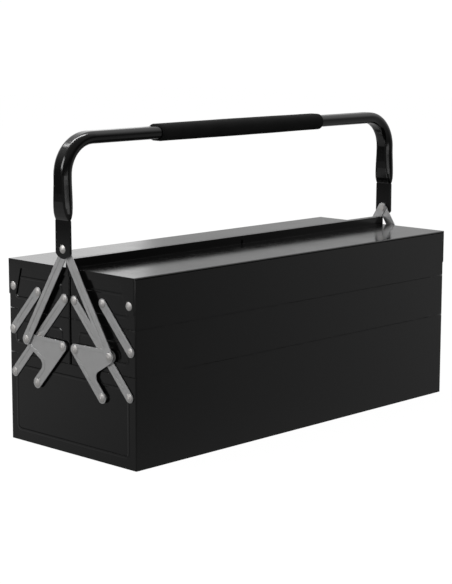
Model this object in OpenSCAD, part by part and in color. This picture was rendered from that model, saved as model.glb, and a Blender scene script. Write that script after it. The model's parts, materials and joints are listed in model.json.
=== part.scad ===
// Cantilever tool box with five trays, two hinged lids and one tubular handle.
// The trays swing out on flat links riveted to their end walls.
// X runs along the box, the front faces -Y, Z is up and the origin is under its middle.

/* [Box] */
// Length of the trays, without links and lids
tray_l = 509.6; // [420:0.1:640]
// Width of the closed box
box_w = 199.4; // [190:0.5:230]
// Height of the bottom box
base_h = 96.5; // [80:0.5:130]
// Height that each tier of trays adds
tier_h = 48.6; // [44:0.1:60]
// Height of the closed lids' top above the lower tiers
lid_tier_h = 53.9; // [50:0.1:65]
// Thickness of the sheet steel
sheet_t = 0.9; // [0.7:0.05:1.2]
// Outer radius of the upright corners
corner_r = 1.2; // [1.1:0.1:4]
// Height of the folded hem along the rims
hem_h = 7; // [4:0.5:10]
// Gap between one tier's rim and the tray above it
tier_gap = 0.6; // [0.3:0.05:0.8]
// Distance from the middle plane to the inner wall of a tray
centre_gap = 1.2; // [0.8:0.1:2]

/* [End beads] */
// Height of the beads that are pressed outward in the end walls
rib_h = 0.3; // [0.15:0.05:0.3]
// Width of a bead at its foot
rib_w = 3.2; // [2.6:0.1:4]
// Width of a bead's sloping flanks
rib_flank = 0.8; // [0.5:0.1:1.2]
// Distance from a long wall to the middle of the bead
rib_margin = 11; // [10.5:0.5:13]
// Distance from the middle plane to the bead of a tray
rib_inner = 13.5; // [12:0.5:16]
// Height of the base bead's lower side
rib_foot = 12.5; // [9:0.5:16]
// Distance from a rim down to the bead below it
rib_down = 13.4; // [12:0.1:15]
// Distance from a tray's bottom up to its bead
rib_up = 12; // [10:0.1:13]
// Distance from the lid's top down to the upper trays' bead
rib_lid_down = 19; // [15:0.5:21]
// Bend radius of a bead at its corners
rib_r = 5; // [3:0.5:8]
// Radius of the flat land left round each rivet
land_r = 5.4; // [5:0.1:6.5]

/* [Lids] */
// How far the lids reach past the trays at the long sides
lid_overhang = 0.3; // [0.2:0.1:1]
// Gap between a tray's end wall and the lid's end flange
lid_end_gap = 0.4; // [0.3:0.05:0.6]
// Depth of the lid's end flanges
flange_h = 8.7; // [6:0.1:12]
// Height from the lid's top down to the foot of its ears
ear_h = 38.5; // [36:0.5:41]
// Width of an ear at its foot
ear_foot_w = 13.4; // [12:0.1:16]
// Width of an ear at the flange
ear_top_w = 21; // [17:0.5:26]
// Corner radius of the ears
ear_r = 3; // [1:0.5:4]
// Distance from the tray's long wall to the lid's rivet
lid_pivot_in = 8.15; // [6:0.05:8.2]
// Height from the lid's top down to its rivet
lid_pivot_down = 29.25; // [28:0.05:32]
// Clearance between the tray's long wall and the lid that turns over it
lid_clear = 1.35; // [1.3:0.05:2]
// Clearance between a tray's other walls and the lid that rests on them
lid_rest_gap = 0.25; // [0.15:0.05:0.4]
// Width of each lid's half of the ridge along the seam
ridge_w = 4.3; // [3.5:0.1:6]
// Height of the ridge above the lids
ridge_h = 9.6; // [6:0.1:14]
// Distance from the middle plane to each lid's edge
ridge_gap = 0.3; // [0.2:0.05:0.6]
// Radius of the padlock hole through the ridge
lock_hole_r = 2.4; // [2:0.1:3]
// Radius of the bend along the lids' outer edge
lid_edge_r = 1.4; // [1:0.1:2]
// Radius of the lids' outer corners, seen from above
lid_corner_r = 1.8; // [1:0.1:2.6]

/* [Links] */
// Thickness of the links and gussets
link_t = 0.9; // [0.7:0.05:1]
// Half the width of the long and short links
link_r = 5.3; // [5:0.1:6]
// Half the width of the gussets' arms
gusset_r = 6; // [5.5:0.1:6.5]
// Radius inside the gusset's notch
notch_r = 7; // [5:0.5:8]
// Slope of the gusset's lower edge, in degrees
notch_slope = 30.5; // [24:0.5:36]
// Half the width of the handle links
handle_link_r = 5.75; // [5.3:0.05:6]
// Length of a handle link between its pins
handle_link_l = 123.6; // [120:0.1:150]
// Running gap between a link and the wall or plate beside it
plate_gap = 0.1; // [0.05:0.01:0.15]
// Gap between the tray walls and the links that lie on them
link_gap = 0.35; // [0.35:0.05:0.45]
// Depth of the bead pressed along the links
bead_depth = 0.3; // [0.1:0.05:0.4]
// Half the width of that bead
bead_r = 1.5; // [1:0.1:2]
// Distance from a rivet to the end of the bead
bead_end = 11; // [8:0.5:14]
// Width of the flat margin round a gusset's pressed panel
gusset_margin = 4; // [3.5:0.1:4.4]

/* [Pivots] */
// Distance from the long wall to the long link's lowest rivet
long_pivot_in = 8.65; // [7:0.05:9]
// Height from the base rim down to that rivet
long_pivot_down = 20.95; // [16:0.05:24]
// Distance from the middle plane to the long link's top rivet
long_top_y = 7.85; // [7.5:0.05:10]
// How much less the rivets rise from tier to tier than the trays do
rise_less = 3.7; // [1:0.1:5]
// Distance from the long wall to the short link's lower rivet
short_pivot_in = 6.75; // [5.5:0.05:8]
// Height from the base rim up to that rivet
short_pivot_up = 26.15; // [22:0.05:28]
// Distance from the long link's lowest rivet inward to the gusset's rivet
gusset_in = 39.55; // [36:0.05:42]
// Distance from the long link's lowest rivet down to the gusset's rivet
gusset_down = 6.05; // [5:0.05:9]
// Distance from the gusset's lowest rivet outward to its handle link
gusset_reach = 15.1; // [12:0.05:18]
// Height from the gusset's lowest rivet to its handle link
gusset_lift = 45.55; // [42:0.05:48]

/* [Rivets] */
// Radius of the rivets' shanks
shank_r = 3; // [2.5:0.05:3.2]
// Radial clearance of a shank in its hole
pin_fit = 0.05; // [0.02:0.01:0.1]
// Radius of the rivets' heads
head_r = 4.6; // [4.4:0.1:5]
// Height of a domed head
head_h = 0.85; // [0.6:0.05:0.9]
// Gap under a head that holds a moving plate
head_gap = 0.05; // [0.02:0.01:0.08]
// Radius of the flush rivets' sunk heads
flush_r = 4.2; // [3.8:0.1:4.5]
// Depth of those sunk heads
flush_t = 0.45; // [0.3:0.05:0.5]
// Radius of the rivets' inner heads
inner_head_r = 4; // [3.5:0.1:4.3]
// Thickness of the rivets' inner heads
inner_head_t = 0.8; // [0.6:0.1:1]
// Height of the handle pins' outer heads
pin_head_h = 1.4; // [1:0.1:2]

/* [Handle] */
// Height from the handle's pins to the middle of its bar
handle_rise = 113.5; // [100:0.5:140]
// Thickness of the flattened tube
tube_t = 13.2; // [12:0.1:15]
// Width of the flattened tube
tube_w = 22; // [19:0.5:24]
// Wall of the tube
tube_wall = 1.2; // [1:0.1:1.6]
// Radius of the handle's bends, at the middle of the tube
bend_r = 37; // [28:0.5:44]
// Width of the tab round the handle's pin
tab_w = 22.4; // [20:0.2:23]
// Distance from the handle's rivet down to the end of its tabs
tab_end = 10; // [9:0.2:11]
// Radius of the arc that ends the handle's tabs
tab_end_r = 14; // [13:0.5:18]
// Width of the tab where the tube begins
tab_top_w = 22; // [20:0.2:23]
// Height from the pin to the top of the flat tab
tab_h = 30; // [26:0.5:34]
// Widest part of the leg, just above the tab
shoulder_w = 25; // [24:0.2:26.4]
// Length of the foam grip
grip_l = 262; // [200:1:300]
// Thickness of the foam
grip_t = 2.9; // [2:0.1:4]
// Radius of the grip's rounded ends
grip_end_r = 2; // [1:0.1:2.8]

/* [Hidden] */
$fn = 48;
EPS = 0.01;
ROUND_PROUD = 0.02;
FRONT = -1;
BACK = 1;
LEFT = -1;
RIGHT = 1;

// Places of the walls and rims, from the middle of the box and from the ground.
end_x = tray_l / 2;
wall_y = box_w / 2;
mid_top = base_h + tier_h;
lid_top = mid_top + lid_tier_h;
panel_under = lid_top - sheet_t;
tray_rim = panel_under - lid_rest_gap;
long_wall_rim = panel_under - lid_clear;

// Rivet places as [distance from the middle plane, height].
rise = tier_h - rise_less;
long_low = [wall_y - long_pivot_in, base_h - long_pivot_down];
lean = (long_low[0] - long_top_y) / 2;
arm = [-lean, rise];
long_mid = long_low + arm;
long_top = long_low + 2 * arm;
short_low = [wall_y - short_pivot_in, base_h + short_pivot_up];
short_top = short_low + arm;
gusset_low = long_low - [gusset_in, gusset_down];
gusset_tray = gusset_low + arm;
gusset_out = gusset_low + [gusset_reach, gusset_lift];
lid_pivot = [wall_y - lid_pivot_in, lid_top - lid_pivot_down];
pin_z = gusset_out[1] + sqrt(handle_link_l * handle_link_l - gusset_out[0] * gusset_out[0]);
handle_pin = [0, pin_z];
bar_z = pin_z + handle_rise;

// Layers on the end walls, as distances out from the walls.
link_from = link_gap;
link_to = link_from + link_t;
lid_from = lid_end_gap;
lid_to = lid_from + sheet_t;
over_head = head_gap + head_h + 1.5 * plate_gap;
gusset_from = link_to + over_head;
gusset_to = gusset_from + link_t;
back_link_from = gusset_to + over_head;
back_link_to = back_link_from + link_t;
front_link_from = back_link_to + plate_gap;
front_link_to = front_link_from + link_t;
tab_t = 2 * tube_wall + 0.4;
tab_from = front_link_to + plate_gap;
tab_to = tab_from + tab_t;
tube_x = end_x + tab_from + tab_t / 2;

// Holes for the shanks, and the shoulders that space a plate away from its wall.
hole_r = shank_r + pin_fit;
shoulder_r = head_r - 0.2;

// The handle's leg: points round it, heights of its ends, the length of straight tube above it,
// how far its rings stay inside the tube, and the shares of its height where they lie.
RING = 36;
leg_top = bar_z - bend_r;
tab_top = pin_z + tab_h;
straight_h = 4;
ring_fit = 0.05;
leg_flare = 0.155;
shoulder_share = 0.18;
leg_shares = [-0.02, 0.03, 0.08, 0.16, 0.28, 0.42, 0.6, 0.8, 0.92, 0.98];

// ---- Shared shapes ----

// Mirrors its children to the front when side is FRONT.
module on_side(side) {
  mirror([0, side < 0 ? 1 : 0, 0]) children();
}

// Mirrors its children to the left end when end is LEFT.
module at_end(end) {
  mirror([end < 0 ? 1 : 0, 0, 0]) children();
}

// Stands its children on an end wall: x is the distance from the middle plane, y the height and
// z the distance out from the wall, which starts at from.
module on_wall(side, end, from) {
  at_end(end) on_side(side)
    translate([end_x + from, 0, 0]) rotate([90, 0, 90]) children();
}

// Extrudes an outline drawn as [distance from the middle plane, height] on an end wall.
module plate(side, end, from, to) {
  on_wall(side, end, from) linear_extrude(to - from) children();
}

// Round bar along X on an end wall, at a rivet's place.
module peg(side, end, place, from, to, r) {
  at_end(end) on_side(side)
    translate([end_x + from, place[0], place[1]]) rotate([0, 90, 0])
      cylinder(h = to - from, r = r);
}

// Turned piece along X at a rivet's place. Its section is [radius, distance out from the wall].
module turned(side, end, place) {
  at_end(end) on_side(side)
    translate([end_x, place[0], place[1]]) rotate([0, 90, 0])
      rotate_extrude() children();
}

// Section of a straight length of a turned piece.
module length_section(from, to, r) {
  translate([0, from]) square([r, to - from]);
}

// Section of a domed head.
module dome_section(from, r, h) {
  ball_r = (r * r + h * h) / (2 * h);
  intersection() {
    translate([0, from + h - ball_r]) circle(ball_r, $fn = 96);
    translate([0, from]) square([r, 2 * h]);
  }
}

// Outline of a straight link with round ends, which stand a hair proud of its edges.
module link_outline(a, b, r) {
  along = b - a;
  translate(a) circle(r + ROUND_PROUD);
  translate(b) circle(r + ROUND_PROUD);
  translate(a) rotate(atan2(along[1], along[0])) translate([0, -r]) square([norm(along), 2 * r]);
}

// Rectangle with round corners, given by two corners.
module round_rect(low, high, r) {
  translate([low[0] + r, low[1]]) square([high[0] - low[0] - 2 * r, high[1] - low[1]]);
  translate([low[0], low[1] + r]) square([high[0] - low[0], high[1] - low[1] - 2 * r]);
  for (x = [low[0] + r, high[0] - r], y = [low[1] + r, high[1] - r])
    translate([x, y]) circle(r);
}

// Upright block with round corners, from z0 to z1, drawn in by inset.
module block(y0, y1, z0, z1, inset, r) {
  translate([0, 0, z0]) linear_extrude(z1 - z0)
    round_rect([-end_x + inset, y0 + inset], [end_x - inset, y1 - inset], r);
}

// Open sheet-metal tray with a folded hem round its rim.
module pan(y0, y1, z0, z1) {
  difference() {
    block(y0, y1, z0, z1, 0, corner_r);
    block(y0, y1, z0 + sheet_t, z1 - hem_h, sheet_t, corner_r - sheet_t);
    block(y0, y1, z0 + sheet_t, z1 + 1, 2 * sheet_t, corner_r - sheet_t);
  }
}

// Section of a bead as [distance across it, distance out from the wall].
module rib_section() {
  foot = rib_w / 2;
  top = foot - rib_flank;
  polygon([[-foot, -EPS], [foot, -EPS], [foot, 0], [top, rib_h], [-top, rib_h], [-foot, 0]]);
}

// Bead that outlines the rectangle between two corners and is bent round at its own corners.
module rib_ring(low, high) {
  half = (high - low) / 2;
  for (turn = [0:3]) {
    across = half[turn % 2];
    upright = half[1 - turn % 2];
    translate([low[0] + half[0], low[1] + half[1], 0]) rotate([0, 0, 90 * turn]) {
      translate([across, 0, 0]) rotate([90, 0, 0])
        linear_extrude(2 * (upright - rib_r), center = true) rib_section();
      translate([across - rib_r, upright - rib_r, 0])
        rotate_extrude(angle = 90) translate([rib_r, 0]) rib_section();
    }
  }
}

// Presses a bead outward in both end walls of the tray that is its child. The sheet keeps its
// thickness, so the same bead is a groove inside. A land is left round each rivet.
module with_ribs(side, low, high, rivets) {
  difference() {
    union() {
      children();
      ribs(side, 0, low, high, rivets);
    }
    ribs(side, -sheet_t, low, high, rivets);
  }
}

module ribs(side, from, low, high, rivets) {
  difference() {
    for (end = [LEFT, RIGHT]) on_wall(side, end, from) rib_ring(low, high);
    for (end = [LEFT, RIGHT], p = rivets) peg(side, end, p, from - 1, from + 1, land_r);
  }
}

// Holes for rivets through both end walls.
module rivet_holes(side, rivets) {
  for (end = [LEFT, RIGHT], p = rivets)
    peg(side, end, p, -3 * sheet_t, 1, hole_r);
}

// Section of a rivet in a wall: inner head, shank and domed outer head on a plate.
module rivet_section(plate_to) {
  length_section(-sheet_t - inner_head_t, -sheet_t, inner_head_r);
  length_section(-sheet_t - inner_head_t, plate_to + head_gap + head_h / 2, shank_r);
  dome_section(plate_to + head_gap, head_r, head_h);
}

// Section of a shoulder that spaces a plate away from its wall.
module shoulder_section(from, to) {
  length_section(from, to - head_gap, shoulder_r);
}

// Section of a rivet whose head is sunk flush in its link.
module flush_section() {
  length_section(-sheet_t - inner_head_t, -sheet_t, inner_head_r);
  length_section(-sheet_t - inner_head_t, link_to, shank_r);
  length_section(link_to - flush_t, link_to, flush_r);
}

// ---- Base ----

module base_box() {
  color("#1d1d1f")
    difference() {
      with_ribs(BACK,
        [-wall_y + rib_margin, rib_foot],
        [wall_y - rib_margin, base_h - rib_down],
        [long_low, gusset_low, [-long_low[0], long_low[1]], [-gusset_low[0], gusset_low[1]]])
        pan(-wall_y, wall_y, 0, base_h);
      for (side = [FRONT, BACK]) rivet_holes(side, [long_low, gusset_low]);
    }
}

module base_rivets() {
  color("#a8a49e")
    for (side = [FRONT, BACK], end = [LEFT, RIGHT]) {
      turned(side, end, long_low) rivet_section(link_to);
      turned(side, end, gusset_low) {
        rivet_section(gusset_to);
        shoulder_section(0, gusset_from);
      }
    }
}

// ---- Middle trays ----

module middle_tray(side) {
  low = base_h + tier_gap;
  color("#1d1d1f")
    difference() {
      with_ribs(side,
        [rib_inner, low + rib_up],
        [wall_y - rib_margin, mid_top - rib_down],
        [long_mid, gusset_tray, short_low])
        on_side(side) pan(centre_gap, wall_y, low, mid_top);
      rivet_holes(side, [long_mid, gusset_tray, short_low]);
    }
}

module middle_rivets(side) {
  color("#a8a49e")
    for (end = [LEFT, RIGHT]) {
      turned(side, end, long_mid) flush_section();
      turned(side, end, short_low) rivet_section(link_to);
      turned(side, end, gusset_tray) {
        rivet_section(gusset_to);
        shoulder_section(0, gusset_from);
      }
    }
}

// ---- Upper trays ----

module upper_tray(side) {
  low = mid_top + tier_gap;
  color("#1d1d1f")
    difference() {
      with_ribs(side,
        [rib_inner, low + rib_up],
        [wall_y - rib_margin, lid_top - rib_lid_down],
        [long_top, short_top, lid_pivot])
        on_side(side) pan(centre_gap, wall_y, low, tray_rim);
      // The long wall stops lower, so that the lid can turn over it.
      on_side(side) translate([-end_x - 1, lid_pivot[0], long_wall_rim])
        cube([tray_l + 2, lid_pivot_in + 1, sheet_t + lid_clear]);
      rivet_holes(side, [long_top, short_top, lid_pivot]);
    }
}

module upper_rivets(side) {
  color("#a8a49e")
    for (end = [LEFT, RIGHT]) {
      turned(side, end, long_top) rivet_section(link_to);
      turned(side, end, short_top) rivet_section(link_to);
      turned(side, end, lid_pivot) rivet_section(lid_to);
    }
}

// ---- Lids ----

// Section of a lid across the box: flat top with a rolled outer edge and half of the ridge.
module lid_section() {
  edge = wall_y + lid_overhang;
  translate([ridge_w - sheet_t, panel_under]) square([edge - ridge_w + sheet_t - lid_edge_r, sheet_t]);
  // Rolled outer edge
  translate([edge - lid_edge_r, lid_top - lid_edge_r])
    intersection() {
      difference() {
        circle(lid_edge_r);
        circle(lid_edge_r - sheet_t);
      }
      square(lid_edge_r + 1);
    }
  // Ridge: a fold with a wall on each side
  translate([ridge_w - sheet_t, panel_under]) square([sheet_t, ridge_h + sheet_t]);
  translate([ridge_gap, lid_top + ridge_h - sheet_t]) square([ridge_w - ridge_gap, sheet_t]);
  translate([ridge_gap, panel_under]) square([sheet_t, ridge_h + sheet_t]);
}

// Outline of a lid's end: the flange and the ear that the lid turns on.
module lid_end_outline() {
  edge = wall_y + lid_overhang;
  foot = lid_top - ear_h;
  flange_foot = lid_top - flange_h;
  difference() {
    union() {
      translate([centre_gap, flange_foot]) square([edge - centre_gap - lid_edge_r, flange_h]);
      translate([edge - 2 * lid_edge_r, foot + ear_r])
        square([2 * lid_edge_r, lid_top - lid_edge_r - foot - ear_r]);
      translate([edge - lid_edge_r, lid_top - lid_edge_r]) circle(lid_edge_r);
      polygon([
        [edge - ear_foot_w, foot + ear_r], [edge - ear_foot_w + ear_r, foot], [edge - ear_r, foot],
        [edge, foot + ear_r], [edge, flange_foot], [edge - ear_top_w, flange_foot]
      ]);
      for (y = [edge - ear_r, edge - ear_foot_w + ear_r])
        translate([y, foot + ear_r]) circle(ear_r);
    }
    translate(lid_pivot) circle(hole_r);
  }
}

module lid(side) {
  lid_x = end_x + lid_to;
  lid_y = wall_y + lid_overhang;
  color("#1d1d1f")
    difference() {
      intersection() {
        union() {
          on_side(side) translate([-lid_x, 0, 0]) rotate([90, 0, 90])
            linear_extrude(2 * lid_x) lid_section();
          for (end = [LEFT, RIGHT]) plate(side, end, lid_from, lid_to) lid_end_outline();
        }
        translate([0, 0, lid_top - ear_h - 1]) linear_extrude(ear_h + ridge_h + 2)
          round_rect([-lid_x, -lid_y], [lid_x, lid_y], lid_corner_r);
      }
      translate([0, 0, lid_top + lock_hole_r]) rotate([90, 0, 0])
        cylinder(h = 4 * ridge_w, r = lock_hole_r, center = true);
    }
}

// ---- Links ----

// Straight link with a bead pressed along the stretch between its rivets.
module beaded_link(side, end, a, b, from, r) {
  along = (b - a) / norm(b - a);
  difference() {
    plate(side, end, from, from + link_t) link_outline(a, b, r);
    plate(side, end, from + link_t - bead_depth, from + link_t + 1)
      link_outline(a + along * bead_end, b - along * bead_end, bead_r);
    for (p = [a, b]) peg(side, end, p, from - 1, from + link_t + 1, hole_r);
  }
}

module long_link(side, end) {
  along = arm / norm(arm);
  color("#8f9490")
    difference() {
      plate(side, end, link_from, link_to) link_outline(long_low, long_top, link_r);
      for (a = [long_low, long_mid])
        plate(side, end, link_to - bead_depth, link_to + 1)
          link_outline(a + along * bead_end, a + arm - along * bead_end, bead_r);
      for (p = [long_low, long_mid, long_top])
        peg(side, end, p, link_from - 1, link_to + 1, hole_r);
      peg(side, end, long_mid, link_to - flush_t - head_gap, link_to + 1, flush_r + pin_fit);
    }
}

module short_link(side, end) {
  color("#8f9490") beaded_link(side, end, short_low, short_top, link_from, link_r);
}

module handle_link(side, end) {
  from = side < 0 ? front_link_from : back_link_from;
  color("#8f9490") beaded_link(side, end, gusset_out, handle_pin, from, handle_link_r);
}

// Outline of a gusset drawn in by inset: two arms, the web between them and a notch.
module gusset_outline(inset) {
  r = gusset_r - inset;
  notch = notch_r + inset;
  arm_dir = arm / norm(arm);
  arm_normal = [arm_dir[1], -arm_dir[0]];
  edge_dir = [cos(notch_slope), sin(notch_slope)];
  edge_normal = [sin(notch_slope), -cos(notch_slope)];
  on_edge = gusset_out + r * edge_normal;
  on_arm = gusset_low + r * arm_normal;
  // Corner where the web's lower edge meets the arm's edge.
  gap = on_edge - on_arm;
  cross = arm_dir[0] * edge_dir[1] - arm_dir[1] * edge_dir[0];
  reach = (gap[0] * edge_dir[1] - gap[1] * edge_dir[0]) / cross;
  corner = on_arm + reach * arm_dir;
  // The notch's arc touches both edges.
  fillet = notch / tan(acos(-edge_dir * arm_dir) / 2);
  on_edge_end = corner + fillet * edge_dir;
  on_arm_end = corner - fillet * arm_dir;
  link_outline(gusset_low, gusset_tray, r);
  link_outline(gusset_tray, gusset_out, r);
  polygon([corner - r * edge_dir, on_edge, gusset_out, gusset_tray]);
  difference() {
    polygon([corner - edge_normal - arm_normal, on_arm_end, on_edge_end]);
    translate(on_edge_end + notch * edge_normal) circle(notch + ROUND_PROUD);
  }
}

module gusset(side, end) {
  color("#8f9490")
    difference() {
      plate(side, end, gusset_from, gusset_to) gusset_outline(0);
      plate(side, end, gusset_to - bead_depth, gusset_to + 1)
        difference() {
          gusset_outline(gusset_margin);
          for (p = [gusset_low, gusset_tray, gusset_out]) translate(p) circle(land_r);
        }
      for (p = [gusset_low, gusset_tray, gusset_out])
        peg(side, end, p, gusset_from - 1, gusset_to + 1, hole_r);
    }
}

// Rivets that carry the handle links' lower ends. Each is spaced off its gusset.
module link_rivets(side) {
  from = side < 0 ? front_link_from : back_link_from;
  color("#a8a49e")
    for (end = [LEFT, RIGHT])
      turned(side, end, gusset_out) {
        length_section(gusset_to + head_gap, from + link_t + head_h / 2, shank_r);
        dome_section(from + link_t, head_r, head_h);
        shoulder_section(gusset_to + head_gap, from + head_gap);
      }
}

// ---- Handle ----

module handle_pins() {
  color("#a8a49e")
    for (end = [LEFT, RIGHT])
      turned(BACK, end, handle_pin) {
        inner = back_link_from - head_gap;
        length_section(inner - inner_head_t, inner, inner_head_r);
        length_section(inner - inner_head_t, tab_to + head_gap + pin_head_h / 2, shank_r);
        dome_section(tab_to + head_gap, head_r, pin_head_h);
      }
}

// Flat oval, width along Y, thickness along X.
module flat_oval(t, w) {
  square([t, w - t], center = true);
  for (y = [-1, 1]) translate([0, y * (w - t) / 2]) circle(t / 2);
}

// The tube's section with its hollow.
module tube_section() {
  difference() {
    flat_oval(tube_t, tube_w);
    flat_oval(tube_t - 2 * tube_wall, tube_w - 2 * tube_wall);
  }
}

// Ring of points round a flat oval at height z.
function oval_ring(t, w, z) = [
  for (i = [0 : RING - 1])
    let (a = 360 * (i + 0.5) / RING)
      [t / 2 * cos(a), t / 2 * sin(a) + sign(sin(a)) * (w - t) / 2, z]
];

// The leg's thickness and width at a share of its height. Above the tab it opens fast and then
// ever more slowly to the tube's thickness. It widens to the shoulder and eases back to the tube.
function ease(x) = let (t = min(max(x, 0), 1)) t * t * (3 - 2 * t);
function leg_t(share) = tube_t - (tube_t - tab_t) * exp(-share / leg_flare);
function leg_w(share) = share < shoulder_share
  ? shoulder_w - (shoulder_w - tab_top_w) * pow(1 - share / shoulder_share, 2)
  : shoulder_w + (tube_w - shoulder_w) * ease((share - shoulder_share) / (1 - shoulder_share));

// Leg of the handle: the tube pressed flat towards its tab, as rings from inside the tab up into
// the straight end of the tube.
module leg() {
  rings = [
    for (share = leg_shares)
      oval_ring(leg_t(share) - 2 * ring_fit, leg_w(share) - 2 * ring_fit,
        tab_top + share * (leg_top - tab_top))
  ];
  points = [for (ring = rings, p = ring) p];
  last = len(rings) - 1;
  sides = [
    for (k = [0 : last - 1], i = [0 : RING - 1])
      let (j = (i + 1) % RING)
        [k * RING + i, (k + 1) * RING + i, (k + 1) * RING + j, k * RING + j]
  ];
  foot = [[for (i = [0 : RING - 1]) i]];
  top = [[for (i = [RING - 1 : -1 : 0]) last * RING + i]];
  polyhedron(points = points, faces = concat(sides, foot, top), convexity = 4);
}

// Flat tab with a round end, which tapers towards the pin.
module tab_outline() {
  r = tab_w / 2;
  intersection() {
    translate(handle_pin + [0, tab_end_r - tab_end]) circle(tab_end_r);
    translate([-r, pin_z - tab_end - 1]) square([tab_w, tab_end + 1]);
  }
  polygon([
    [-r, pin_z], [r, pin_z], [tab_top_w / 2, tab_top], [-tab_top_w / 2, tab_top]
  ]);
}

module handle_tube() {
  bar_half = tube_x - bend_r;
  color("#131314") {
    translate([-bar_half, 0, bar_z]) rotate([0, 90, 0]) linear_extrude(2 * bar_half) tube_section();
    for (end = [LEFT, RIGHT]) {
      at_end(end) translate([bar_half, 0, leg_top]) rotate([90, 0, 0])
        rotate_extrude(angle = 90) translate([bend_r, 0]) tube_section();
      difference() {
        union() {
          at_end(end) translate([tube_x, 0, 0]) leg();
          at_end(end) translate([tube_x, 0, leg_top - straight_h])
            linear_extrude(straight_h) flat_oval(tube_t, tube_w);
          plate(BACK, end, tab_from, tab_to) tab_outline();
        }
        peg(BACK, end, handle_pin, tab_from - 1, tab_to + 1, hole_r);
      }
    }
  }
}

module handle_grip() {
  grip_half = grip_l / 2;
  out_t = tube_t + 2 * grip_t;
  out_w = tube_w + 2 * grip_t;
  color("#1a1a1b")
    difference() {
      union() {
        translate([-grip_half + grip_end_r, 0, bar_z]) rotate([0, 90, 0])
          linear_extrude(grip_l - 2 * grip_end_r) flat_oval(out_t, out_w);
        translate([-grip_half, 0, bar_z]) rotate([0, 90, 0])
          linear_extrude(grip_l) flat_oval(out_t - 2 * grip_end_r, out_w - 2 * grip_end_r);
      }
      translate([-grip_half - 1, 0, bar_z]) rotate([0, 90, 0])
        linear_extrude(grip_l + 2) flat_oval(tube_t + 2 * pin_fit, tube_w + 2 * pin_fit);
    }
}

// ---- Parts ----

base_box();
base_rivets();
middle_tray(FRONT);  // front_middle_tray
middle_tray(BACK);  // back_middle_tray
middle_rivets(FRONT);  // front_middle_rivets
middle_rivets(BACK);  // back_middle_rivets
upper_tray(FRONT);  // front_upper_tray
upper_tray(BACK);  // back_upper_tray
upper_rivets(FRONT);  // front_upper_rivets
upper_rivets(BACK);  // back_upper_rivets
lid(FRONT);  // front_lid
lid(BACK);  // back_lid
long_link(FRONT, LEFT);  // front_long_link_left
long_link(FRONT, RIGHT);  // front_long_link_right
long_link(BACK, LEFT);  // back_long_link_left
long_link(BACK, RIGHT);  // back_long_link_right
short_link(FRONT, LEFT);  // front_short_link_left
short_link(FRONT, RIGHT);  // front_short_link_right
short_link(BACK, LEFT);  // back_short_link_left
short_link(BACK, RIGHT);  // back_short_link_right
gusset(FRONT, LEFT);  // front_gusset_left
gusset(FRONT, RIGHT);  // front_gusset_right
gusset(BACK, LEFT);  // back_gusset_left
gusset(BACK, RIGHT);  // back_gusset_right
handle_link(FRONT, LEFT);  // front_handle_link_left
handle_link(FRONT, RIGHT);  // front_handle_link_right
handle_link(BACK, LEFT);  // back_handle_link_left
handle_link(BACK, RIGHT);  // back_handle_link_right
link_rivets(FRONT);  // front_link_rivets
link_rivets(BACK);  // back_link_rivets
handle_pins();
handle_tube();
handle_grip();
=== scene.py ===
# %% [markdown]
# # Cantilever tool box
# The imported CAD model is loaded first, as a fixed frame. Every piece of sheet steel, link and
# rivet of the real box is already in it at its real size, so nothing here moves or resizes it.
# This file only gives each surface its finish, puts the soft foam grip on the handle, and sets
# up the studio. All lengths are in metres.

# %% Load the imported frame
import json
import math

import bpy
import numpy as np
from mathutils import Matrix, Vector


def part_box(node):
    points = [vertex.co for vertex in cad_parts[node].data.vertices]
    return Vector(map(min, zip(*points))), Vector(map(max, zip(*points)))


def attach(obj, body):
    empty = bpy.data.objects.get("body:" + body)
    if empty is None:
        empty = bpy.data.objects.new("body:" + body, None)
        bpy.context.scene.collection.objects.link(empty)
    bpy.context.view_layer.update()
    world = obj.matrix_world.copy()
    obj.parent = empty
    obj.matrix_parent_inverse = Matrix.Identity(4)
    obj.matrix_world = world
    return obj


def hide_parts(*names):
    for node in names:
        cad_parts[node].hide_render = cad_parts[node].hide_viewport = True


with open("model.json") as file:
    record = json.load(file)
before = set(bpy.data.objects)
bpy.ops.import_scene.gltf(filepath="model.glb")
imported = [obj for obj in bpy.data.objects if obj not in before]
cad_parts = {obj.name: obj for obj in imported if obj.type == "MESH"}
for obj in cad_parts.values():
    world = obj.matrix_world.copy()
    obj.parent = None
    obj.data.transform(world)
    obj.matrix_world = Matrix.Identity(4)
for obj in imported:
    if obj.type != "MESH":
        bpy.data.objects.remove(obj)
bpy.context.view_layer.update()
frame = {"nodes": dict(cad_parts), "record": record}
nodes = frame["nodes"]

# %% [markdown]
# ## Which finish goes on which piece
# The record that was packed with the model says which material slot each CAD node belongs to:
# the box's paint, the handle's paint, the grey links, the rivets and the foam. Reading it from
# there is safer than typing the names again, because a piece that is added to the model later
# gets its finish without a change in this file.

# %% Slots of the CAD nodes
MM = 0.001

slot_of = {part["node"]: part["material_slot"] for part in frame["record"]["subparts"]}
for slot in sorted(set(slot_of.values())):
    print(slot, "on", sum(name == slot for name in slot_of.values()), "nodes")

# %% [markdown]
# ## Small helpers for shader nodes
# A material could be clicked together in the shader editor. In a script it is shorter to have
# three helpers: one that makes an empty node group with named sockets, one that adds a node and
# fills in its inputs, and one that opens a material with its Principled shader. Each later cell
# then reads like a list of the nodes and the wires between them.


# %% Node helpers
def node_group(name, inputs, outputs):
    """An empty shader node group whose sockets are (label, kind, value) rows."""
    tree = bpy.data.node_groups.new(name, "ShaderNodeTree")
    for in_out, rows in (("INPUT", inputs), ("OUTPUT", outputs)):
        for label, kind, value in rows:
            socket = tree.interface.new_socket(label, in_out=in_out, socket_type=kind)
            if value is not None:
                socket.default_value = value
    return tree, tree.nodes.new("NodeGroupInput"), tree.nodes.new("NodeGroupOutput")


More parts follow.
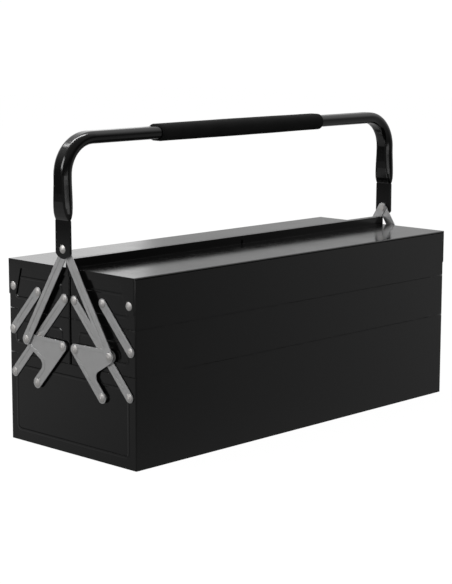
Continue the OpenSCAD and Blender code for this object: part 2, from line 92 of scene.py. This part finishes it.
def add(tree, kind, settings=None, **inputs):
    """A new node. A value goes on the input, and an output socket is wired to it. Underscores
    in an input's name stand for spaces, and a name such as in1 is the input of that number."""
    node = tree.nodes.new(kind)
    for key, value in (settings or {}).items():
        setattr(node, key, value)
    for label, value in inputs.items():
        numbered = label[:2] == "in" and label[2:].isdigit()
        socket = node.inputs[int(label[2:]) if numbered else label.replace("_", " ")]
        if isinstance(value, bpy.types.NodeSocket):
            tree.links.new(value, socket)
        else:
            socket.default_value = value
    return node


def math_node(tree, operation, *values):
    """The output of a Math node on numbers or sockets."""
    inputs = {f"in{i}": value for i, value in enumerate(values)}
    return add(tree, "ShaderNodeMath", {"operation": operation}, **inputs).outputs[0]


def place_group(tree, group, **inputs):
    """A node group placed in a material, with its inputs filled in."""
    return add(tree, "ShaderNodeGroup", {"node_tree": group}, **inputs)


def new_material(name, **constants):
    """A material with its Principled shader, and the constants set on the shader's sockets."""
    material = bpy.data.materials.new(name)
    material.use_nodes = True
    shader = material.node_tree.nodes["Principled BSDF"]
    for label, value in constants.items():
        shader.inputs[label.replace("_", " ")].default_value = value
    return material, material.node_tree, shader


def grey(value, warmth=0.0):
    """A grey as a colour with alpha; warmth moves it a little from blue to red."""
    return (value * (1 + warmth), value, value * (1 - warmth), 1.0)


def multiply(tree, *values):
    """The product of two or more numbers or sockets, as a chain of Math nodes."""
    product = values[0]
    for value in values[1:]:
        product = math_node(tree, "MULTIPLY", product, value)
    return product


print("node helpers ready")

# %% [markdown]
# ## Powder coat: a skin of fine pebbles
# Powder paint melts into a skin with a very fine orange-peel surface, which breaks a reflection
# up without making the paint dull. A bump image could show it, but noise in two sizes needs no
# image and never repeats. The group takes the point in object space and gives a height for a
# Bump node and a slow mottle for the colour and the roughness.

# %% Group: orange peel
PEBBLES_PER_METRE = 900.0

peel, peel_in, peel_out = node_group(
    "orange_peel",
    [("Point", "NodeSocketVector", None), ("Pebbles", "NodeSocketFloat", PEBBLES_PER_METRE),
     ("Clouds", "NodeSocketFloat", 14.0)],
    [("Height", "NodeSocketFloat", None), ("Mottle", "NodeSocketFloat", None)],
)
pebbles = add(peel, "ShaderNodeTexNoise", Vector=peel_in.outputs["Point"],
              Scale=peel_in.outputs["Pebbles"], Detail=2.0, Roughness=0.55)
clouds = add(peel, "ShaderNodeTexNoise", Vector=peel_in.outputs["Point"],
             Scale=peel_in.outputs["Clouds"], Detail=3.0, Roughness=0.5)
peel.links.new(pebbles.outputs[0], peel_out.inputs["Height"])
peel.links.new(clouds.outputs[0], peel_out.inputs["Mottle"])
print("orange peel: pebbles of about", round(1 / PEBBLES_PER_METRE / MM, 2), "mm")

# %% [markdown]
# ## Broken edges
# No sheet edge on the real box is as sharp as a mathematical one: the paint pulls back from it
# and hands polish it. Rounding thousands of edges in the mesh would be costly and would change
# the CAD. Cycles' Bevel node instead bends the shading normal near an edge. Where that bent
# normal and the true one disagree there is an edge, so the same node also gives an edge mask.
# The finishes use that mask to paint a paler highlight on edges, and a darker shade inside them.

# %% Group: soft edge
edge, edge_in, edge_out = node_group(
    "soft_edge",
    [("Radius", "NodeSocketFloat", 0.3 * MM), ("Start", "NodeSocketFloat", 0.02),
     ("Full", "NodeSocketFloat", 0.25)],
    [("Normal", "NodeSocketVector", None), ("Edge", "NodeSocketFloat", None)],
)
rounded = add(edge, "ShaderNodeBevel", {"samples": 4}, Radius=edge_in.outputs["Radius"])
flat_normal = add(edge, "ShaderNodeNewGeometry").outputs["Normal"]
agree = add(edge, "ShaderNodeVectorMath", {"operation": "DOT_PRODUCT"},
            in0=rounded.outputs[0], in1=flat_normal).outputs["Value"]
edge_mask = add(edge, "ShaderNodeMapRange", Value=math_node(edge, "SUBTRACT", 1.0, agree),
                From_Min=edge_in.outputs["Start"], From_Max=edge_in.outputs["Full"])
edge.links.new(rounded.outputs[0], edge_out.inputs["Normal"])
edge.links.new(edge_mask.outputs[0], edge_out.inputs["Edge"])
print("soft edge group has", len(edge.nodes), "nodes")

# %% [markdown]
# ## Plated steel: fine rolling grain
# The links and rivets are punched from rolled strip and then zinc plated. What is left of the
# rolling is a very fine grain, and the plating adds faint clouds. Noise that is stretched along
# one direction gives the grain; the same noise unstretched gives the clouds.

# %% Group: plated grain
plated, plated_in, plated_out = node_group(
    "plated_grain",
    [("Point", "NodeSocketVector", None), ("Grain", "NodeSocketFloat", 1400.0),
     ("Clouds", "NodeSocketFloat", 60.0)],
    [("Grain", "NodeSocketFloat", None), ("Clouds", "NodeSocketFloat", None)],
)
stretched = add(plated, "ShaderNodeMapping", Vector=plated_in.outputs["Point"],
                Scale=(1.0, 0.08, 1.0))
grain = add(plated, "ShaderNodeTexNoise", Vector=stretched.outputs[0],
            Scale=plated_in.outputs["Grain"], Detail=3.0, Roughness=0.6)
plate_clouds = add(plated, "ShaderNodeTexNoise", Vector=plated_in.outputs["Point"],
                   Scale=plated_in.outputs["Clouds"], Detail=4.0, Roughness=0.6)
plated.links.new(grain.outputs[0], plated_out.inputs["Grain"])
plated.links.new(plate_clouds.outputs[0], plated_out.inputs["Clouds"])
print("plated grain group ready")

# %% [markdown]
# ## Handling marks
# Even a new box has faint hand and cloth marks in its gloss. They don't change the colour, only
# how sharp a reflection is, so this group gives one value, the roughness, between two limits.

# %% Group: handling marks
marks, marks_in, marks_out = node_group(
    "handling_marks",
    [("Point", "NodeSocketVector", None), ("Size", "NodeSocketFloat", 25.0),
     ("Smooth", "NodeSocketFloat", 0.3), ("Rough", "NodeSocketFloat", 0.4)],
    [("Roughness", "NodeSocketFloat", None)],
)
smears = add(marks, "ShaderNodeTexNoise", Vector=marks_in.outputs["Point"],
             Scale=marks_in.outputs["Size"], Detail=5.0, Roughness=0.6, Distortion=0.6)
marks_range = add(marks, "ShaderNodeMapRange", Value=smears.outputs[0], From_Min=0.3,
                  From_Max=0.7, To_Min=marks_in.outputs["Smooth"],
                  To_Max=marks_in.outputs["Rough"])
marks.links.new(marks_range.outputs[0], marks_out.inputs["Roughness"])
print("handling marks group ready")

# %% [markdown]
# ## The box's black powder coat
# Trays, base and lids wear the same semi-gloss black. Seen square on it is almost black; seen
# along the lids it mirrors the bright studio, because every smooth paint reflects strongly at a
# glancing angle. That comes from the shader's own Fresnel, so the colour stays dark and even.


# %% Material: box paint
MIX_A, MIX_B, MIX_RESULT = 6, 7, 2  # the colour sockets among a Mix node's many
PAINT_SPECULAR = 0.4
PEEL_STRENGTH = 0.35


def wire_bump(tree, shader, height, distance, strength, normal=None):
    """A Bump node from a height to the shader's Normal, on top of a bent normal if given."""
    bump = add(tree, "ShaderNodeBump", Height=height, Distance=distance, Strength=strength)
    if normal is not None:
        tree.links.new(normal, bump.inputs["Normal"])
    tree.links.new(bump.outputs[0], shader.inputs["Normal"])


def two_tone(tree, mask, dark, light):
    """A colour between dark and light by a mask."""
    mix = add(tree, "ShaderNodeMix", {"data_type": "RGBA"}, in0=mask)
    mix.inputs[MIX_A].default_value = dark
    mix.inputs[MIX_B].default_value = light
    return mix


def painted_steel(name, dark, light, worn_and_highlight, smooth, rough, pebble_depth, edge_radius):
    """Paint on sheet steel: mottled black, orange peel, handling marks, and paler edges that
    are painted highlight as well as wear.
    """
    material, tree, shader = new_material(name, Specular_IOR_Level=PAINT_SPECULAR)
    point = add(tree, "ShaderNodeTexCoord").outputs["Object"]
    skin = place_group(tree, peel, Point=point)
    edges = place_group(tree, edge, Radius=edge_radius)
    gloss = place_group(tree, marks, Point=point, Smooth=smooth, Rough=rough)
    body = two_tone(tree, skin.outputs["Mottle"], dark, light)
    # paler colour on the edges: painted highlight as well as wear
    color = two_tone(tree, edges.outputs["Edge"], dark, worn_and_highlight)
    tree.links.new(body.outputs[MIX_RESULT], color.inputs[MIX_A])
    tree.links.new(color.outputs[MIX_RESULT], shader.inputs["Base Color"])
    tree.links.new(gloss.outputs[0], shader.inputs["Roughness"])
    wire_bump(tree, shader, skin.outputs["Height"], pebble_depth, PEEL_STRENGTH,
              edges.outputs["Normal"])
    return material


finish = {}
# The paler edge grey below is a painted highlight as well as wear.
finish["box_paint"] = painted_steel(
    "black_powder_coat", dark=grey(0.0018), light=grey(0.0026), worn_and_highlight=grey(0.005),
    smooth=0.12, rough=0.17, pebble_depth=0.005 * MM, edge_radius=0.4 * MM)
print("made", finish["box_paint"].name)

# %% [markdown]
# ## The handle's gloss paint
# The tube is painted before it is fitted, and it looks glossier than the box: the photograph has
# a sharp white streak along its bend. Its roughness is about the box's, so the same function
# makes it. What differs is the skin, with far less orange peel, and an edge radius of nothing,
# because a round tube has few sharp edges: it gets neither the painted edge highlight nor wear.

# %% Material: handle paint
finish["handle_paint"] = painted_steel(
    "gloss_black_tube", dark=grey(0.0015), light=grey(0.0022), worn_and_highlight=grey(0.004),
    smooth=0.14, rough=0.18, pebble_depth=0.0008 * MM, edge_radius=0.0)
print("made", finish["handle_paint"].name)

# %% [markdown]
# ## Zinc plated links and steel rivets
# The links are satin grey steel, and the rivet heads are a touch warmer and rougher. Both are
# metals, so Metallic is 1 and the base colour is what they reflect. Along the punched edges the
# colour is a paler painted highlight, and a band just inside them is a darker painted shade, as
# of a shallow pressing; that band is the edge mask again, with a wider radius. The grain goes in
# the bump, the clouds in the colour, and the handling marks in the roughness.


# %% Materials: links and rivets
GRAIN_STRENGTH = 0.3
PUNCHED_EDGE = 0.35 * MM


def plated_steel(name, dark, light, edge_highlight, smooth, rough, grain_depth, rim_shade, rim_shade_radius):
    """Plated steel: cloudy grey, fine grain, handling marks, a painted shade just inside the
    edges and a painted highlight on them.
    """
    material, tree, shader = new_material(name, Metallic=1.0)
    point = add(tree, "ShaderNodeTexCoord").outputs["Object"]
    metal = place_group(tree, plated, Point=point)
    edges = place_group(tree, edge, Radius=PUNCHED_EDGE)
    gloss = place_group(tree, marks, Point=point, Size=120.0, Smooth=smooth, Rough=rough)
    body = two_tone(tree, metal.outputs["Clouds"], dark, light)
    # painted shade: a darker band just inside the edges, through a wider edge mask
    outline = place_group(tree, edge, Radius=rim_shade_radius)
    with_rim_shade = two_tone(tree, outline.outputs["Edge"], dark, rim_shade)
    tree.links.new(body.outputs[MIX_RESULT], with_rim_shade.inputs[MIX_A])
    # painted highlight: a paler colour on the edges themselves
    color = two_tone(tree, edges.outputs["Edge"], dark, edge_highlight)
    tree.links.new(with_rim_shade.outputs[MIX_RESULT], color.inputs[MIX_A])
    tree.links.new(color.outputs[MIX_RESULT], shader.inputs["Base Color"])
    tree.links.new(gloss.outputs[0], shader.inputs["Roughness"])
    wire_bump(tree, shader, metal.outputs["Grain"], grain_depth, GRAIN_STRENGTH,
              edges.outputs["Normal"])
    return material


# Below, the paler edge grey is painted highlight and the darker inner grey painted shade.
finish["link_steel"] = plated_steel(
    "zinc_plated_link", dark=grey(0.52), light=grey(0.58), edge_highlight=grey(0.68),
    smooth=0.42, rough=0.5, grain_depth=0.01 * MM, rim_shade=grey(0.42), rim_shade_radius=1.6 * MM)
finish["rivet_steel"] = plated_steel(
    "steel_rivet", dark=grey(0.5, 0.025), light=grey(0.58, 0.025), edge_highlight=grey(0.62),
    smooth=0.48, rough=0.56, grain_depth=0.006 * MM, rim_shade=grey(0.4, 0.02), rim_shade_radius=0.9 * MM)
print("made", finish["link_steel"].name, "and", finish["rivet_steel"].name)

# %% [markdown]
# ## Foam for the grip
# The grip is closed-cell foam rubber: deep matt black, with tiny burst cells at its skin. A
# Voronoi texture has the look of packed cells, and its height feeds a bump. The shader is rough
# and nearly without specular, since foam traps the light.

# %% Material: grip foam
CELLS_PER_METRE = 1300.0
CELL_DEPTH = 0.15 * MM

foam, foam_tree, foam_shader = new_material(
    "black_closed_cell_foam", Roughness=0.95, Specular_IOR_Level=0.18)
foam_point = add(foam_tree, "ShaderNodeTexCoord").outputs["Object"]
cells = add(foam_tree, "ShaderNodeTexVoronoi", Vector=foam_point, Scale=CELLS_PER_METRE)
cell_tone = place_group(foam_tree, peel, Point=foam_point, Pebbles=400.0, Clouds=50.0)
foam_color = two_tone(foam_tree, cell_tone.outputs["Mottle"], grey(0.004), grey(0.009))
foam_tree.links.new(foam_color.outputs[MIX_RESULT], foam_shader.inputs["Base Color"])
wire_bump(foam_tree, foam_shader, cells.outputs["Distance"], CELL_DEPTH, 0.5)
finish["grip_foam"] = foam
print("made", foam.name)

# %% [markdown]
# ## Put the finishes on the CAD nodes
# Each CAD object keeps its mesh and its place. Only the material in its slot changes.

# %% Assign by slot
for name, slot in slot_of.items():
    nodes[name].material_slots[0].material = finish[slot]
print("finishes on", len(slot_of), "nodes")

# %% [markdown]
# ## The foam grip as its own soft piece
# On the real handle the grip is a thick foam sleeve, pushed over the tube before its ends are
# pressed flat. It could be a cylinder with a hole, but the tube is a flat oval and foam has soft
# rounded ends. So it is worked out as one closed surface: a closed wall profile, drawn as
# distance along the bar against height over the tube, is carried once round the flat oval. Both
# ways round the grid close on themselves, so there is no seam and no pole to mend.


# %% Flat oval and wall profile
CROWN = 0.25 * MM
LIP = 0.4 * MM


def flat_oval(along, straight, turn_radius):
    """Points round a flat oval by the distance travelled along it. Travel over the right half
    circle, then the top straight, the left half circle and the bottom straight. What has been
    travelled on the half circles, over their radius, is the angle of the outward direction;
    what has been travelled on the straights moves the circle's centre left and back."""
    arc = math.pi * turn_radius
    angle = -math.pi / 2 + np.clip(along, 0, arc) / turn_radius
    angle = angle + np.clip(along - arc - straight, 0, arc) / turn_radius
    centre = straight / 2 - np.clip(along - arc, 0, straight)
    centre = centre + np.clip(along - 2 * arc - straight, 0, straight)
    return centre, angle


def sleeve_wall(half_length, inner, outer, round_end, steps):
    """Closed outline of the foam wall as (place along the bar, height over the oval's middle):
    the outside with a slight crown, a quarter round into the end face, the end face, the bore,
    and the same again mirrored. The crown is a cosine that is lowest at the ends."""
    corner = np.linspace(0, math.pi / 2, 9)
    x_out = np.linspace(-1, 1, steps) * (half_length - round_end)
    crown = CROWN * (1 - np.cos(math.pi * x_out / half_length)) / 2
    right_x = half_length - round_end + round_end * np.sin(corner)
    right_h = outer - CROWN - round_end + round_end * np.cos(corner)
    lip_x = half_length - LIP * (1 - np.cos(corner))
    lip_h = inner + LIP * (1 - np.sin(corner))
    x_in = np.linspace(1, -1, steps) * (half_length - LIP)
    wall_x = np.concatenate([x_out, right_x[1:], lip_x, x_in[1:-1], -lip_x[::-1],
                             -right_x[:0:-1]])
    wall_h = np.concatenate([outer - crown, right_h[1:], lip_h,
                             np.full(steps - 2, inner), lip_h[::-1], right_h[:0:-1]])
    return wall_x, wall_h


# %% [markdown]
# ## From a grid of points to a mesh
# The two formulas meet in one grid. Rows run round the wall's outline and columns run round the
# oval. Blender can be given all the points and four-sided faces at once, and numpy works the
# faces out from a table of point numbers that is shifted by one row or one column.


# %% Grid surface helper
def closed_grid(name, x, y, z):
    """A mesh from a grid of points that closes both ways: each cell of four neighbours is a
    face, and the last row and column join the first. Faces that would point inwards, which
    shows as a negative volume, are turned over as a whole."""
    rows, columns = x.shape
    points = np.stack([x, y, z], axis=-1)
    index = np.arange(rows * columns).reshape(rows, columns)
    beside, above = np.roll(index, -1, axis=1), np.roll(index, -1, axis=0)
    across = np.roll(above, -1, axis=1)
    quads = np.stack([index, beside, across, above], axis=-1).reshape(-1, 4)
    flat = points.reshape(-1, 3)
    a, b, c, d = (flat[quads[:, i]] for i in range(4))
    if np.sum(np.cross(b - a, d - a) * a) + np.sum(np.cross(d - c, b - c) * c) < 0:
        quads = quads[:, ::-1]
    mesh = bpy.data.meshes.new(name)
    mesh.from_pydata(flat.tolist(), [], quads.tolist())
    mesh.shade_smooth()
    piece = bpy.data.objects.new(name, mesh)
    bpy.context.scene.collection.objects.link(piece)
    return piece


# %% [markdown]
# ## Shape the grip
# The grip takes its size from the CAD node that it replaces, and rides the handle. Foam is never
# quite even, so the outside also gets three slow waves, each 0.03 mm either way, that close on
# themselves round the oval. They only lower the surface, so the grip stays in the CAD's box.

# %% Foam grip
FOAM_THICK = 2.9 * MM
BORE_PLAY = 0.05 * MM
ROUND_END = 2.4 * MM
WAVE = 0.03 * MM
STEPS_AROUND, STEPS_ALONG = 96, 180

grip_low, grip_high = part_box("handle_grip")
grip_mid = (grip_low + grip_high) / 2
grip_length, grip_deep, grip_tall = grip_high - grip_low
bore = grip_tall / 2 - FOAM_THICK + BORE_PLAY
straight = grip_deep - grip_tall
mean_radius = bore + FOAM_THICK / 2
around = 2 * (math.pi * mean_radius + straight)
travel = np.linspace(0, around, STEPS_AROUND, endpoint=False)
centre, angle = flat_oval(travel, straight, mean_radius)
wall_x, wall_h = sleeve_wall(grip_length / 2, bore, grip_tall / 2, ROUND_END, STEPS_ALONG)
waves = (np.sin(2 * math.pi * wall_x / 0.071)[:, None] * np.cos(angle * 2 + 0.4)
         + np.sin(2 * math.pi * wall_x / 0.043 + 1.0)[:, None] * np.cos(angle * 3)
         + np.sin(2 * math.pi * wall_x / 0.113 + 2.0)[:, None] * np.cos(angle))
outside = ((wall_h - bore) / FOAM_THICK)[:, None]
height = wall_h[:, None] + WAVE * (waves - 3) * outside
grip = closed_grid(
    "foam_grip",
    np.broadcast_to(grip_mid.x + wall_x[:, None], height.shape),
    grip_mid.y + centre + height * np.cos(angle),
    grip_mid.z + height * np.sin(angle),
)
grip.data.materials.append(finish["grip_foam"])
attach(grip, "handle")
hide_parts("handle_grip")
print("foam grip:", len(grip.data.polygons), "faces,", round(grip_length * 1000), "mm long")

# %% [markdown]
# ## Where the studio is bright
# Black gloss paint has almost no colour of its own. What the eye reads as its greys are faint
# mirror images: the upright faces mirror the white table, the lids mirror the backdrop behind,
# and beside each link there is a black band, which is the link's dark back in the paint. So the
# studio is drawn by direction and by place. Two axes help: one points behind the box as the
# camera sees it, the other to the camera's right.

# %% Axes and ramps
BEHIND = Vector((0.719, 0.695, 0.0))
RIGHTWARD = Vector((0.695, -0.719, 0.0))


def ramp(tree, value, start, end, low, high, shape="SMOOTHSTEP"):
    """A step of a value: low before start, high after end."""
    step = add(tree, "ShaderNodeMapRange", {"interpolation_type": shape}, Value=value,
               From_Min=start, From_Max=end, To_Min=low, To_Max=high)
    return step.outputs[0]


def along(tree, direction, axis):
    """How far a direction or a point lies along an axis."""
    return add(tree, "ShaderNodeVectorMath", {"operation": "DOT_PRODUCT"}, in0=direction,
               in1=axis).outputs["Value"]


print("axes ready")

# %% [markdown]
# ## Studio floor
# The photograph has a plain white surround. The floor is one large pale plane. To the camera it
# is mostly white light, and the rest is ordinary diffuse paper, so that the box's soft shadow
# stays on it. In a plain studio gloss would see that same white. Here it is given a brightness
# of its own, fitted to this one view: brighter towards the back and on the left, and dark
# beyond a far edge. That is a shortcut and not how light behaves, so for other pictures it is
# better to let Is Glossy Ray see what Is Camera Ray sees and to fit the paint instead.

# %% Floor
FLOOR_HALF = 6.0
FLOOR_WHITE = 0.85
FLOOR_GLOW = 1.16
TABLE_EDGE = 1.25
EDGE_BLUR = 0.04
TABLE_NEAR, TABLE_FAR = 0.165, 0.415

corners = np.array([(-1, -1, 0), (1, -1, 0), (1, 1, 0), (-1, 1, 0)], float) * FLOOR_HALF
floor_mesh = bpy.data.meshes.new("studio_floor")
floor_mesh.from_pydata(corners.tolist(), [], [(0, 1, 2, 3)])
floor = bpy.data.objects.new("studio_floor", floor_mesh)
bpy.context.scene.collection.objects.link(floor)
paper = bpy.data.materials.new("white_paper")
paper.use_nodes = True
paper_tree = paper.node_tree
paper_tree.nodes.clear()
seen = add(paper_tree, "ShaderNodeLightPath")
table_point = add(paper_tree, "ShaderNodeTexCoord").outputs["Object"]
rightward = along(paper_tree, table_point, RIGHTWARD)
back_light = ramp(paper_tree, along(paper_tree, table_point, BEHIND), -0.45, 0.25, TABLE_NEAR,
                  TABLE_FAR, "LINEAR")
left_light = ramp(paper_tree, rightward, -0.5, 0.3, 1.4, 1.0)
table_end = ramp(paper_tree, along(paper_tree, table_point, (0, 1, 0)), TABLE_EDGE - EDGE_BLUR,
                 TABLE_EDGE + EDGE_BLUR, 1.0, 0.12)
table_light = multiply(paper_tree, back_light, left_light, table_end)
diffuse = add(paper_tree, "ShaderNodeBsdfDiffuse", Color=grey(0.2))
glow = add(paper_tree, "ShaderNodeEmission", Color=grey(1.0), Strength=FLOOR_GLOW)
mirrored_table = add(paper_tree, "ShaderNodeEmission", Color=grey(1.0), Strength=table_light)
mirror_or_glass = math_node(paper_tree, "MAXIMUM", seen.outputs["Is Glossy Ray"],
                            seen.outputs["Is Transmission Ray"])
to_camera = math_node(paper_tree, "MULTIPLY", seen.outputs["Is Camera Ray"], FLOOR_WHITE)
lit_paper = add(paper_tree, "ShaderNodeMixShader", in0=to_camera, in1=diffuse.outputs[0],
                in2=glow.outputs[0])
mixed = add(paper_tree, "ShaderNodeMixShader", in0=mirror_or_glass, in1=lit_paper.outputs[0],
            in2=mirrored_table.outputs[0])
add(paper_tree, "ShaderNodeOutputMaterial", Surface=mixed.outputs[0])
floor.data.materials.append(paper)
print("floor", 2 * FLOOR_HALF, "m wide")

# %% [markdown]
# ## The room round it
# The world is white to the camera and lights matt surfaces with an even grey. What gloss sees is
# drawn by direction, with the same shortcut as on the floor: a bright backdrop behind, a wall
# that goes on round to the right, a pale ceiling and a dim rest. The lids mirror the backdrop.
# It has one sharp edge where its brighter left half ends, which is the step in the grey of the
# back lid.

# %% World
LEFT_HALF, RIGHT_HALF = 1.16, 0.49
DIM_REST = 0.06
SOFT_GREY = 0.5
CAMERA_WHITE = 1.02

world = bpy.data.worlds.new("studio_room")
bpy.context.scene.world = world
world.use_nodes = True
room = world.node_tree
room.nodes.clear()
path = add(room, "ShaderNodeLightPath")
toward = add(room, "ShaderNodeTexCoord").outputs["Generated"]
rear = along(room, toward, BEHIND)
aside = along(room, toward, RIGHTWARD)
up = along(room, toward, (0, 0, 1))
backdrop = ramp(room, rear, 0.3, 0.8, 0.0, 1.0)
bright_half = ramp(room, aside, -0.052, -0.044, LEFT_HALF, RIGHT_HALF)
low_down = ramp(room, up, 0.3, 0.6, 1.0, 0.1)
wall = multiply(room, backdrop, bright_half, low_down)
right_wall = multiply(room, ramp(room, aside, -0.2, 0.3, 0.0, 1.0),
                      ramp(room, rear, -0.04, 0.3, 0.0, 0.6, "LINEAR"),
                      ramp(room, rear, 0.3, 0.8, 1.0, 0.0))
overhead = multiply(room, ramp(room, rear, -0.5, 0.8, 0.2, 0.7),
                    ramp(room, up, 0.2, 0.65, 0.0, 1.0))
strength = math_node(room, "ADD", math_node(room, "ADD", wall, right_wall),
                     math_node(room, "ADD", overhead, DIM_REST))
mirrored = add(room, "ShaderNodeBackground", Color=grey(1.0), Strength=strength)
soft = add(room, "ShaderNodeBackground", Color=grey(1.0), Strength=SOFT_GREY)
white = add(room, "ShaderNodeBackground", Color=grey(1.0), Strength=CAMERA_WHITE)
glossy_or_glass = math_node(room, "MAXIMUM", path.outputs["Is Glossy Ray"],
                            path.outputs["Is Transmission Ray"])
lit = add(room, "ShaderNodeMixShader", in0=glossy_or_glass, in1=soft.outputs[0],
          in2=mirrored.outputs[0])
whole = add(room, "ShaderNodeMixShader", in0=path.outputs["Is Camera Ray"],
            in1=lit.outputs[0], in2=white.outputs[0])
add(room, "ShaderNodeOutputWorld", Surface=whole.outputs[0])
print("world has", len(room.nodes), "nodes")

# %% [markdown]
# ## Lamps
# Mirror images say where the lamps were. The white streak on the handle's near bend was traced
# back from the camera, over the tube, to a long narrow softbox overhead, so the main lamp is a
# strip there. The stripe down the handle's leg comes the same way from something low and white
# in front: a long low card that lies below the camera's view and shines towards the box. The
# links are evenly grey, so a third panel stands on their side. It is high enough that the
# upright faces don't mirror it, though the bend does, as a short second stripe.


# %% Overhead strip, front card and side panel
def panel_lamp(name, place, long_axis, facing, size, power):
    """A rectangular area lamp at a place: its long side along one axis, its light along
    another."""
    lamp = bpy.data.lights.new(name, "AREA")
    lamp.shape = "RECTANGLE"
    lamp.size, lamp.size_y = size
    lamp.energy = power
    holder = bpy.data.objects.new(name, lamp)
    back = -Vector(facing).normalized()
    side = Vector(long_axis) - back * back.dot(Vector(long_axis))
    side.normalize()
    axes = Matrix((side, back.cross(side), back)).transposed().to_4x4()
    holder.matrix_world = Matrix.Translation(place) @ axes
    bpy.context.scene.collection.objects.link(holder)


panel_lamp("overhead_strip", place=(0.02, 1.03, 2.6), long_axis=(0.5, -0.87, 0),
           facing=(0, -0.3, -1), size=(2.8, 0.3), power=60)
panel_lamp("front_card", place=(-0.84, -1.1, 0.125), long_axis=RIGHTWARD,
           facing=(0.6, 0.79, 0), size=(1.6, 0.25), power=2.3)
panel_lamp("left_panel", place=(-1.75, 0.75, 0.95), long_axis=(0.4, 0.9, 0),
           facing=(0.83, -0.4, -0.4), size=(0.8, 0.8), power=16.5)
print("three lamps")

# %% [markdown]
# ## Camera
# The camera stands where the photographer stood: it was found by matching the box's corners and
# the rivets. It is given as a turn round the box, a rise, a small roll, a distance and the point
# it looks at. The lens follows from the picture's width of view.

# %% Camera
TURN, RISE, ROLL = math.radians(-45.968), math.radians(9.586), math.radians(0.114)
DISTANCE = 1.93676
AIM = Vector((-0.005252, 0.015555, 0.14166))
FOCAL_IN_PICTURES = 1677.938 / 584
SENSOR = 36.0

backward = Vector((math.sin(TURN) * math.cos(RISE), -math.cos(TURN) * math.cos(RISE),
                   math.sin(RISE)))
level = Vector((math.cos(TURN), math.sin(TURN), 0))
upward = backward.cross(level)
right = math.cos(ROLL) * level + math.sin(ROLL) * upward
upright = -math.sin(ROLL) * level + math.cos(ROLL) * upward
camera = bpy.data.objects.new("camera", bpy.data.cameras.new("camera"))
camera.data.sensor_width = SENSOR
camera.data.lens = FOCAL_IN_PICTURES * SENSOR
camera.matrix_world = Matrix.Translation(AIM + DISTANCE * backward) @ Matrix(
    (right, upright, backward)).transposed().to_4x4()
bpy.context.scene.collection.objects.link(camera)
bpy.context.scene.camera = camera
bpy.context.scene.view_settings.view_transform = "Standard"
print("lens", round(camera.data.lens, 1), "mm")
